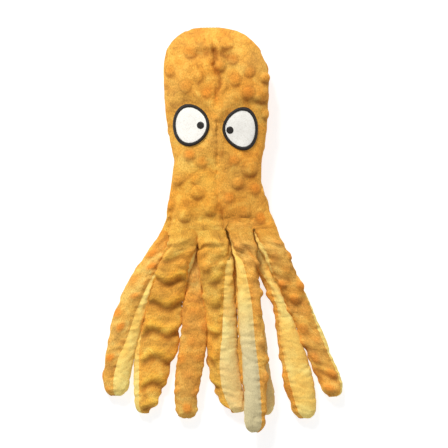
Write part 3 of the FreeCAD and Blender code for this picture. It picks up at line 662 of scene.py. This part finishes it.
def sew_tentacle(number):
    levels, closing = tentacle_levels(number, ROW_STEP)
    half = TENTACLE_AROUND // 2
    points, outward = tentacle_grid(number, levels, closing, whole_turn(TENTACLE_AROUND))
    coarse_levels = coarse_tentacles[number][0]
    points = points + settled_moves(number, levels, coarse_levels, TENTACLE_AROUND, LOOSE_TENTACLE_AROUND)
    down = lengths(points, 0).mean(axis=1)[:, None] + 0 * points[..., 0]
    out_of_head = smooth_step(-3, -14, levels)[:, None]
    low = smooth_step(-40, -115, levels)[:, None]
    for side, first in (("cover", 0), ("underside", half)):
        columns = np.arange(first, first + half + 1) % TENTACLE_AROUND
        sheet, out, v = points[:, columns], outward[:, columns], down[:, columns]
        across = lengths(sheet, 1)
        width = across[:, -1:]
        u = across - width / 2
        edge = np.minimum(across, width - across)
        pucker = 0.5 + 0.5 * np.sin(v * 2 * math.pi / PUCKER_APART + 2 * np.sin(v / 9.0 + number))
        groove = np.exp(-((edge / SEAM_WIDE) ** 2)) * (0.75 + 0.5 * pucker)
        gathered = np.exp(-((edge / 5.0) ** 2)) * np.sin(v * 2 * math.pi / GATHER_APART + number) * 0.35
        inner = smooth_step(0.0, 5.0, edge)
        height = 0.55 * lumps(number * 7 + first, u, v * 0.8, 26.0)
        if side == "cover":
            cut_off = v + number * 5.3
            dot = dots(u, cut_off, number) * smooth_step(0.8, 4.6, edge) * out_of_head
            # painted shadow: a crescent below each dot, on the side away from the light
            dot_shadow = np.clip(dots(u, cut_off - DOT_SHADOW_DROP, number) - dot, 0, 1) * inner
            wander = v / BAND_APART + 0.35 * np.sin(v / 37.0)
            wander = wander + 0.12 * np.sin(u / 4.1 + v / 31.0 + number)
            band = (0.5 + 0.5 * np.cos(2 * math.pi * wander)) ** 4
            ridge = (0.5 + 0.5 * np.cos(2 * math.pi * (wander + 0.27))) ** 3
            beside_seam = smooth_step(17.0, 6.0, across) if number == ONE_SIDED else 1.0
            below_root = smooth_step(-14.0, -34.0, levels)[:, None]
            depth = BANDS.get(number, BAND_LEAST) * below_root * beside_seam
            height = height + depth * (0.5 * ridge - band) + 0.35 * lumps(number + 40, u, v, 9.0)
            height = height + DOT_HIGH * DOT_SHARE[number] * dot
            # painted shade in the valleys of the creases and in the shadow below each dot
            painted_shade = 0.42 * depth * band + 0.35 * dot_shadow * DOT_SHARE[number]
            masks = {
                "spot": dot * SPOT_SHARE[number],
                "faded": out_of_head * FADED[number] * (0.8 + 0.3 * lumps(number + 90, u, v, 30.0)),
                "painted_shade": inner * out_of_head * painted_shade,
                # painted highlight on the ridges of the creases, and a golden tone
                "gold_tone_and_highlight": inner * 0.36 * depth * ridge + GOLDEN.get(number, 0.0),
            }
            material, slot, fill = DIMPLE_PLUSH, "dimple_plush", 0.25
        else:
            creases = np.abs(lumps(number + 60, u * 0.45, v, 17.0))
            height = height - 0.6 * np.exp(-((creases / CREASE_WIDE) ** 2))
            height = height + 0.2 * lumps(number + 80, u, v, 8.0)
            masks = {"spot": low * PALE.get(number, 0.0)}
            material, slot, fill = SMOOTH_PLUSH, "smooth_plush", 0.2
        height = height * inner * (0.2 + 0.8 * out_of_head) - SEAM_DEEP * groove + gathered
        height = height * np.minimum(1, closing * 1.6)[:, None]
        sheet = sheet + out * height[..., None]
        place = np.stack([u, v, np.full_like(u, number * 60.0 + first)], axis=2)
        if side == "cover" and number in FRONT_TENTACLES:
            from_middle = along(TENTACLE_ROWS[number], levels, 1)[:, None] + FACE_MIDDLE + u
            place = np.stack([from_middle, levels[0] - v, FRONT_CLOTH + 0 * u], axis=2)
        cut = int(np.argmin(np.abs(levels - CUT_Y)))
        spans = {"upper": slice(0, cut + 1), "lower": slice(cut, None)}
        for length, span in spans.items():
            name = f"tentacle_{number}_{length}_{side}"
            cut_masks = {mask: (values + 0 * u)[span] for mask, values in masks.items()}
            piece = cloth_piece(f"{name}_cloth", sheet[span], place[span], cut_masks, material)
            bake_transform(piece)
            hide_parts(name)


for number in TENTACLE_ROWS:
    sew_tentacle(number)


# ---------------------------------------------------------------- the head: sewing
# The gores meet down the middle of the face, down the back and along both sides. The crown is gathered, and its
# front seam has a pleat where the cloth doubles over. The plush lies over the squeaker pocket sewn up inside.

pocket_low, pocket_high = (np.array(corner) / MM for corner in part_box("squeaker_pocket"))
POCKET_X, POCKET_Y = ((pocket_low + pocket_high) / 2)[:2]
POCKET_TOP = pocket_high[2] + 0.7  # mm, the lowest that the cloth over the pocket can lie

# x and y of the pleat, from the crown down.
PLEAT = [
    (-7.4, 150.0),
    (-7.2, 144.0),
    (-6.4, 138.0),
    (-8.2, 132.8),
    (-5.0, 127.6),
    (-2.6, 121.4),
    (-2.8, 115.0),
    (-6.2, 109.0),
]
# Bulges and hollows of the face: middle x and y, reach along x and y, height.
FACE_BULGES = [
    (-16.0, 131.0, 10.0, 8.0, 1.8),
    (-2.6, 133.0, 4.6, 4.6, 2.2),
    (-10.0, 152.0, 26.0, 7.0, 1.6),
    (16.0, 134.0, 12.0, 8.0, 1.2),
    (31.0, 112.0, 9.0, 4.0, 1.4),
    (29.0, 103.0, 12.0, 3.0, -1.4),
    (-34.0, 118.0, 7.0, 16.0, 0.9),
]
# x and y of the crease that hangs across the crown.
CROWN_CREASE = [
    (-34, 139.5),
    (-23, 142.5),
    (-14, 144.2),
    (-8, 145),
    (-1, 142.8),
    (7, 139.5),
    (14, 137.5),
    (26, 136),
]
# y and x of the slit that runs up from the rim between the middle tentacles.
SPLIT_Y, SPLIT_X = (-6, 6, 21), (1.5, -0.8, -2.2)
# Each eye is an oval: middle, half-width, half-height, lean in degrees, how much blunter one side is, pupil.
EYES = {
    "left": {
        "x": -26.4,
        "y": 84.5,
        "wide": 15.1,
        "high": 17.2,
        "lean": 1,
        "blunt": -0.13,
        "pupil": (-18.7, 84.2),
    },
    "right": {
        "x": 13.6,
        "y": 81.5,
        "wide": 14.7,
        "high": 17.4,
        "lean": 1,
        "blunt": 0.20,
        "pupil": (5.2, 80.3),
    },
}
# Middle x and y of a dot of the front gores, its radius, its height and how far its colour is orange.
FACE_DOTS = [
    (2.5, 152.0, 6.0, 1.3, 0.1),
    (-27.0, 144.4, 5.8, 1.2, 0.5),
    (-18.9, 154.8, 4.6, 0.7, 0.2),
    (-2.5, 132.4, 5.0, 1.3, 0.4),
    (9.2, 121.0, 5.2, 1.2, 0.3),
    (7.5, 138.5, 5.0, 0.9, 0.6),
    (21.0, 128.0, 5.0, 0.8, 0.5),
    (-30.8, 116.0, 5.6, 1.0, 0.4),
    (-20.0, 123.5, 5.0, 0.7, 0.2),
    (-43.0, 129.0, 4.6, 0.9, 0.3),
    (-14.0, 110.5, 4.8, 0.6, 0.7),
    (20.0, 111.0, 6.0, 0.9, 0.8),
    (30.4, 107.6, 6.0, 1.3, 0.3),
    (34.6, 123.6, 4.8, 1.8, 0.5),
    (35.8, 93.6, 4.8, 1.5, 0.4),
    (-27.6, 60.6, 5.4, 0.8, 0.9),
    (-17.6, 55.0, 5.4, 0.9, 0.7),
    (-4.0, 62.0, 4.8, 0.5, 0.5),
    (8.6, 56.0, 5.0, 0.6, 0.9),
    (21.3, 49.0, 6.8, 2.0, 0.0),
    (12.0, 37.6, 5.6, 1.4, 0.5),
    (26.0, 33.0, 5.0, 0.8, 0.9),
    (-37.0, 40.0, 4.8, 1.2, 0.3),
    (-22.6, 40.6, 4.6, 0.8, 0.3),
    (-20.8, 30.2, 6.2, 1.6, 0.1),
    (4.4, 25.6, 5.2, 0.7, 0.9),
    (-31.6, 11.0, 5.8, 1.7, 0.0),
    (-10.0, 16.4, 6.2, 1.2, 0.1),
    (18.0, 13.5, 5.0, 1.0, 0.2),
    (30.6, 9.5, 5.4, 0.9, 1.0),
    (-44.0, 20.0, 4.6, 0.9, 0.3),
]
HEAD_PUCKER_APART = 6.2  # mm along a seam
HEAD_SEAM_DEEP = 1.5
BACK_DOT_HIGH = 1.3


def face_dots(x, y, lower=0.0):
    """Height and orange share of the dots of the face, all of them moved down the cloth by this much."""
    height, orange = np.zeros_like(x), np.zeros_like(x)
    for middle_x, middle_y, radius, rise, share in FACE_DOTS:
        away = np.hypot(x - middle_x, y - middle_y + lower) / (radius * 1.15)
        dot = 1 - smooth_step(0.25, 1.0, away)
        height = np.maximum(height, rise * dot)
        orange = np.maximum(orange, share * dot)
    return height, orange


def egg(eye, x, y):
    """1 on the edge of an eye's oval, less inside it."""
    lean = math.radians(eye["lean"])
    dx, dy = x - eye["x"], y - eye["y"]
    across = dx * math.cos(lean) + dy * math.sin(lean)
    up = -dx * math.sin(lean) + dy * math.cos(lean)
    return np.hypot(across / eye["wide"], up / (eye["high"] * (1 + eye["blunt"] * across / eye["wide"])))


def nearest_eye(x, y):
    """1 on the edge of either eye, less inside it."""
    return np.minimum(egg(EYES["left"], x, y), egg(EYES["right"], x, y))


def hill(away, reach):
    """1 at no distance, falling away over this reach."""
    return np.exp(-((away / reach) ** 2))


def face_folds(x, y):
    """Distance of each place of the face from the crown crease, the slit above the rim, and the pleat."""
    sag, pleat = np.array(CROWN_CREASE), np.array(PLEAT)[::-1]
    below_crease = y - np.interp(x, sag[:, 0], sag[:, 1])
    from_split = x - np.interp(y, SPLIT_Y, SPLIT_X)
    from_pleat = x - np.interp(y, pleat[:, 1], pleat[:, 0])
    return below_crease, from_split, from_pleat


def face_height(x, y):
    """Wrinkles of the front of the head over its smooth shape, in mm, dimples apart."""
    height = 0.8 * lumps(3, x, y, 38.0) + 0.4 * lumps(4, x, y, 16.0)
    for middle_x, middle_y, reach_x, reach_y, rise in FACE_BULGES:
        height = height + rise * hill(x - middle_x, reach_x) * hill(y - middle_y, reach_y)
    below_crease, from_split, from_pleat = face_folds(x, y)
    height = height - 2.6 * hill(below_crease, 3.6) * np.exp(-(((x + 8) / 24) ** 4))
    height = height - 3.2 * hill(from_split, 1.5) * smooth_step(24, 10, y)
    strength = smooth_step(106, 118, y) * smooth_step(152, 144, y)
    height = height - strength * 3.2 * hill(from_pleat, 1.7)
    height = height + strength * 1.7 * hill(from_pleat - 4.2, 2.6)
    height = height + strength * 1.0 * hill(from_pleat + 4.0, 2.6)
    between_eyes = hill(y - 88, 26) * hill(x + 6.3, 9)
    return height + between_eyes * 0.8 * np.sin((y - 90) / 4.2) * np.sign(x + 6.3)


def painted_fold_shade(x, y):
    """Where shade is painted into the folds, slit and hollows of the face, from 0 to 1."""
    below_crease, from_split, from_pleat = face_folds(x, y)
    mask = hill(from_pleat, 1.3) * smooth_step(107, 114, y) * smooth_step(150, 144, y)
    mask = mask + 0.75 * hill(below_crease + 1, 4.5) * np.exp(-(((x + 6) / 20) ** 4))
    for middle_x, middle_y, reach_x, reach_y, rise in FACE_BULGES:
        if rise < 0:
            mask = mask + 0.4 * hill(x - middle_x, reach_x) * hill(y - middle_y, reach_y)
    return np.clip(mask + 0.8 * hill(from_split, 1.3) * smooth_step(22, 12, y), 0, 1)


def face_z(x, y):
    """Height of the cloth of the face, as the eyes are laid on it."""
    return head_skin(x, y, True) + face_height(x, y)


def face_calm(points):
    """Where the eyes are sewn on, the cloth is held and can't slacken."""
    x, y, z = points[..., 0], points[..., 1], points[..., 2]
    return (1 - smooth_step(1.0, 1.5, nearest_eye(x, y))) * smooth_step(14, 20, z)


def sew_head():
    levels = head_levels(ROW_STEP)
    angles = whole_turn(HEAD_AROUND)
    points = head_grid(levels, angles)
    move = settled_moves(0, levels, coarse_head, HEAD_AROUND, LOOSE_HEAD_AROUND)
    loose_share = smooth_step(RIM_Y, 24, points[..., 1]) * (1 - face_calm(points))
    points = points + move * loose_share[..., None]
    _, wide, thick = head_at(levels[:, None])
    nx, nz = np.cos(angles)[None, :] / wide, np.sin(angles)[None, :] / thick
    size = np.hypot(nx, nz)
    outward = np.stack([nx / size, 0 * nx, nz / size], axis=2)
    crown = smooth_step(150, CROWN_Y, levels)[:, None]
    outward[..., 1] += 0.9 * crown
    outward /= np.linalg.norm(outward, axis=2, keepdims=True)
    quarter = HEAD_AROUND // 4
    gores = {
        "head_front_right": (0, quarter),
        "head_front_left": (quarter, 2 * quarter),
        "head_back_left": (2 * quarter, 3 * quarter),
        "head_back_right": (3 * quarter, 4 * quarter),
    }
    for index, (name, (first, last)) in enumerate(gores.items()):
        columns = np.arange(first, last + 1) % HEAD_AROUND
        sheet, out = points[:, columns], outward[:, columns]
        x, y = sheet[..., 0], sheet[..., 1]
        across = lengths(sheet, 1)
        width = across[:, -1:]
        edge = np.minimum(across, width - across)
        gone = smooth_step(4, 22, y)
        pucker = np.sin(y * 2 * math.pi / HEAD_PUCKER_APART + 1.7 * np.sin(y / 11.0))
        middle_seam = np.abs(np.sin(angles[columns]))[None, :]
        groove = hill(edge, 1.7) * (0.9 + 0.22 * pucker) * gone * (0.45 + 0.55 * middle_seam)
        from_side = across if index % 2 == 0 else width - across
        u = (width - from_side) * (1 if "right" in name else -1)
        if "front" in name:
            height = face_height(x, y)
            clear = smooth_step(1.02, 1.25, nearest_eye(x, y))
            dot, orange = face_dots(x, y)
            # painted shadow below each dot, away from the light, and painted shade in a ring round its foot
            dot_shadow = np.clip(face_dots(x, y, 3.2)[0] - dot, 0, 2) * 0.75
            dot_ring_shade = hill(dot - 0.22, 0.2) * (dot > 0)
        else:
            height = 0.6 * lumps(5, x, y, 30.0)
            clear = np.ones_like(x)
            dot = BACK_DOT_HIGH * dots(u, -y, -1)
            orange = 0.5 * dot
            # painted shadow below each dot of the back, away from the light
            dot_shadow = np.clip(BACK_DOT_HIGH * dots(u, -y - DOT_SHADOW_DROP, -1) - dot, 0, 1) * 0.75
            dot_ring_shade = 0.0
        fade = smooth_step(RIM_Y + 3, 16, y)
        shown = clear * smooth_step(0.8, 4.0, edge) * smooth_step(-2, 6, y) * smooth_step(164, 156, y)
        gather = crown * hill(edge, 7.0) * 0.5 * np.sin(edge * 2.1)
        height = (height + 0.25 * lumps(30, x, y, 8.0)) * smooth_step(0, 8, from_side) * fade
        height = height - HEAD_SEAM_DEEP * groove + dot * shown + gather
        height = height * smooth_step(CROWN_Y + 0.5, CROWN_Y - 6, y)
        sheet = sheet + out * height[..., None]
        if "front" in name:
            on_pocket = 1 - smooth_step(24.0, 29.0, np.hypot(x - POCKET_X, y - POCKET_Y))
            resting = soft_max(sheet[..., 2], POCKET_TOP, 0.8)
            sheet[..., 2] += on_pocket * (resting - sheet[..., 2])
        shade_in_folds = painted_fold_shade(x, y) if "front" in name else 0.0
        cloth = FRONT_CLOTH if "front" in name else -FRONT_CLOTH
        place = np.stack([u, y, np.full_like(y, cloth)], axis=2)
        masks = {
            "spot": 0.8 * orange * shown,
            "faded": 0.30 * np.clip(lumps(18, x, y, 40.0), 0, 1),
            # painted shade: below each dot, round its foot, and in the folds of the face
            "painted_shade": (0.85 * dot_shadow + 0.3 * dot_ring_shade) * shown + shade_in_folds,
            "gold_tone_and_highlight": 0.35 * smooth_step(2, -12, x) * smooth_step(70, 40, y),
        }
        piece = cloth_piece(f"{name}_cloth", sheet, place, masks, DIMPLE_PLUSH)
        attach(piece, "head")
        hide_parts(f"{name}_gore")


sew_head()


# ---------------------------------------------------------------- the eyes
# Each eye is a flat oval of white felt, sewn on with a band of black satin stitch. A small round pupil is
# stitched near its inner edge, so the toy looks cross-eyed.

def grained(name, dark, pale, scale, roughness, detail=4.0, twist=0.0, stops=(0.0, 1.0), relief=0.3, deep=0.0):
    """A plain finish with a fine grain between two colours, and a relief this many metres deep."""
    material = bpy.data.materials.new(name)
    material.use_nodes = True
    nodes, links = material.node_tree.nodes, material.node_tree.links
    shader = nodes["Principled BSDF"]
    shader.inputs["Roughness"].default_value = roughness
    where = nodes.new("ShaderNodeTexCoord")
    grain = nodes.new("ShaderNodeTexNoise")
    grain.inputs["Scale"].default_value = scale
    grain.inputs["Detail"].default_value = detail
    grain.inputs["Distortion"].default_value = twist
    tone = nodes.new("ShaderNodeValToRGB")
    for stop, position, colour in zip(tone.color_ramp.elements, stops, (dark, pale)):
        stop.position = position
        stop.color = (*colour, 1)
    links.new(where.outputs["Object"], grain.inputs["Vector"])
    links.new(grain.outputs["Fac"], tone.inputs["Fac"])
    links.new(tone.outputs["Color"], shader.inputs["Base Color"])
    if deep:
        bump = nodes.new("ShaderNodeBump")
        bump.inputs["Strength"].default_value = relief
        bump.inputs["Distance"].default_value = deep
        links.new(grain.outputs["Fac"], bump.inputs["Height"])
        links.new(bump.outputs["Normal"], shader.inputs["Normal"])
    return material


FELT = grained(
    "white felt",
    dark=(0.80, 0.76, 0.68),
    pale=(0.98, 0.955, 0.89),
    scale=700,
    roughness=0.95,
    detail=5.0,
    twist=1.5,
    stops=(0.25, 0.55),
    relief=0.4,
    deep=0.0004,
)
felt_shader = FELT.node_tree.nodes["Principled BSDF"]
felt_shader.inputs["Sheen Weight"].default_value = 0.25
felt_shader.inputs["Specular IOR Level"].default_value = 0.2
THREAD = grained("black satin stitch", (0.003, 0.003, 0.003), (0.045, 0.038, 0.034), 900, 0.6, detail=2.0)
THREAD.node_tree.nodes["Principled BSDF"].inputs["Specular IOR Level"].default_value = 0.3
FELT_PROUD = 1.0  # mm over the plush
EDGING_WIDE = 3.2
EDGING_SUNK = 0.6  # mm that the stitches pull their edges into the plush
EDGING_HIGH = 2.3
THREAD_HIGH = 0.16  # relief of the single threads
STITCH = 0.42  # mm between threads
PUPIL_RADIUS = 3.1
PUPIL_HIGH = 1.15


def egg_point(eye, share, angle):
    """The point of the oval at this angle, at a share of its full size."""
    lean = math.radians(eye["lean"])
    across = eye["wide"] * share * np.cos(angle)
    up = eye["high"] * share * np.sin(angle) * (1 + eye["blunt"] * np.cos(angle))
    x = eye["x"] + across * math.cos(lean) - up * math.sin(lean)
    return x, eye["y"] + across * math.sin(lean) + up * math.cos(lean)


def patch(name, x, y, proud, material, node):
    """A round sheet laid on the face: rings of points, proud of the plush by this much."""
    z = face_z(x, y) + proud
    points = np.stack([x, y, z], axis=2)
    piece = cloth_piece(name, points, points, {}, material)
    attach(piece, "head")
    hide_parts(node)


def sew_eye(side, eye):
    turn = np.linspace(0, 2 * math.pi, 241)[None, :]
    middle = (eye["wide"] + eye["high"]) / 2
    band = EDGING_WIDE / middle
    share = np.linspace(0.0, 1 - band / 2, 30)[:, None]
    x, y = egg_point(eye, share, turn)
    crown = FELT_PROUD - 0.5 * (share + 0 * turn) ** 8
    patch(f"eye_{side}_felt", x, y, crown, FELT, f"eye_{side}_white")
    count = int(2 * math.pi * middle / STITCH)
    turn = np.linspace(0, 2 * math.pi, count * 4 + 1)[None, :]
    over = np.linspace(-1.0, 1.0, 13)[:, None]
    ragged = 1 + 0.06 * np.sin(turn * 37 + 1.3) * np.sin(turn * 91)
    share = 1 - band / 2 + over * band / 2 * ragged
    x, y = egg_point(eye, share, turn)
    rounded = np.sqrt(np.clip(1 - over**2, 0, 1))
    thread = THREAD_HIGH * np.abs(np.sin(turn * count / 2 + 0.9 * over))
    proud = -EDGING_SUNK + rounded * (EDGING_HIGH + thread)
    patch(f"eye_{side}_edging", x, y, proud, THREAD, f"eye_{side}_outline")
    px, py = eye["pupil"]
    turn = np.linspace(0, 2 * math.pi, 97)[None, :]
    share = np.linspace(0.0, 1.0, 15)[:, None]
    x = px + PUPIL_RADIUS * share * np.cos(turn)
    y = py + PUPIL_RADIUS * share * np.sin(turn)
    threads = 0.10 * np.abs(np.sin(x / STITCH * math.pi))
    proud = FELT_PROUD - 0.4 + np.sqrt(np.clip(1 - share**4, 0, 1)) * (PUPIL_HIGH + threads)
    patch(f"eye_{side}_spot", x, y, proud, THREAD, f"eye_{side}_pupil")


for side, eye in EYES.items():
    sew_eye(side, eye)


# ---------------------------------------------------------------- the base of the bag
# A smooth yellow oval of plush is sewn in between the front and the back tentacles, a little inside the rim.
# It shuts the bag.

BASE_Y = 5.0
INSIDE_GORES = 1.8  # mm that the panel stays inside the gores


def sew_base():
    across = np.linspace(-1, 1, 90)[None, :]
    up = np.linspace(-1, 1, 26)[:, None]
    cx, wide, _ = head_at(np.array([BASE_Y]))
    x = cx[0] + (wide[0] - 2.5) * across + 0 * up
    reach = np.sqrt(np.clip(1 - (across * 0.985) ** 2, 0, 1))
    high = head_skin(x, BASE_Y + 0 * x, True) - INSIDE_GORES
    low = head_skin(x, BASE_Y + 0 * x, False) + INSIDE_GORES
    z = low + np.maximum(high - low, 0.4) * (up + 1) / 2
    y = BASE_Y + 0.5 - 2.2 * reach * (1 - up**2) + 0.5 * lumps(12, x, z, 15.0)
    points = np.stack([x, y, z], axis=2)
    masks = {"spot": 0.3}
    piece = cloth_piece("base_panel_cloth", points, points, masks, SMOOTH_PLUSH)
    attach(piece, "head")
    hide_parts("base_panel")


sew_base()


# ---------------------------------------------------------------- squeaker, its pocket and the crackling film
# These are sewn up inside and keep their CAD shapes. The squeaker is a moulded bulb with a reed, the pocket a
# thin unwoven cloth, and the film a clear strip that crackles.

MOULDED = grained("moulded squeaker", (0.78, 0.78, 0.74), (0.90, 0.90, 0.87), 60, 0.45, deep=0.0001)
POCKET_CLOTH = grained("pocket cloth", (0.70, 0.67, 0.60), (0.86, 0.84, 0.78), 500, 0.9, deep=0.0003)
FILM = grained("crackling film", (0.80, 0.83, 0.85), (0.93, 0.95, 0.96), 140, 0.2, deep=0.0008)
REED = grained("reed", (0.55, 0.06, 0.04), (0.72, 0.12, 0.08), 300, 0.4, deep=0.0001)
for node, cad_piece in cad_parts.items():
    if "squeaker" in node or "crinkle" in node:
        if node == "squeaker_pocket":
            finish = POCKET_CLOTH
        elif node == "squeaker_reed":
            finish = REED
        else:
            finish = FILM if "crinkle" in node else MOULDED
        cad_piece.data.materials.clear()
        cad_piece.data.materials.append(finish)


# ---------------------------------------------------------------- floor, lights and camera
# A pale seamless floor, one large soft light from past the crown, and low fill from all round.

bpy.ops.mesh.primitive_plane_add(size=8, location=(0, 0, -0.0002))
floor = bpy.context.object
floor.name = "floor"
floor_finish = bpy.data.materials.new("pale floor")
floor_finish.use_nodes = True
floor_shader = floor_finish.node_tree.nodes["Principled BSDF"]
floor_shader.inputs["Base Color"].default_value = (0.45, 0.45, 0.45, 1)
floor_shader.inputs["Emission Color"].default_value = (1, 1, 1, 1)
floor_shader.inputs["Emission Strength"].default_value = 0.72
floor_shader.inputs["Roughness"].default_value = 0.9
floor_shader.inputs["Specular IOR Level"].default_value = 0.1
floor.data.materials.append(floor_finish)


def soft_light(name, place, size, power):
    lamp = bpy.data.lights.new(name, "AREA")
    lamp.energy = power
    lamp.size = size
    source = bpy.data.objects.new(name, lamp)
    source.location = place
    source.rotation_euler = (-Vector(place)).to_track_quat("-Z", "Y").to_euler()
    bpy.context.collection.objects.link(source)


soft_light("crown_light", (-0.6, 1.5, 1.3), 0.5, 38)
soft_light("top_fill", (0.3, -0.3, 2.4), 1.6, 6)

world = bpy.data.worlds.new("room")
world.use_nodes = True
world.node_tree.nodes["Background"].inputs["Color"].default_value = (1.0, 1.0, 1.0, 1)
world.node_tree.nodes["Background"].inputs["Strength"].default_value = 0.42
bpy.context.scene.world = world
bpy.context.scene.view_settings.view_transform = "Standard"

VIEW_WIDE = 0.3674  # metres across the view at the toy
FACE_ABOVE = 0.012  # metres that the middle of the toy lies above the floor
LENS = 220.0
camera_data = bpy.data.cameras.new("camera")
camera_data.lens = LENS
camera = bpy.data.objects.new("camera", camera_data)
height = VIEW_WIDE / 2 / (camera_data.sensor_width / 2 / LENS) + FACE_ABOVE
camera.location = (0.0004, 0.0041, height)
camera_data.clip_end = 20
bpy.context.collection.objects.link(camera)
bpy.context.scene.camera = camera
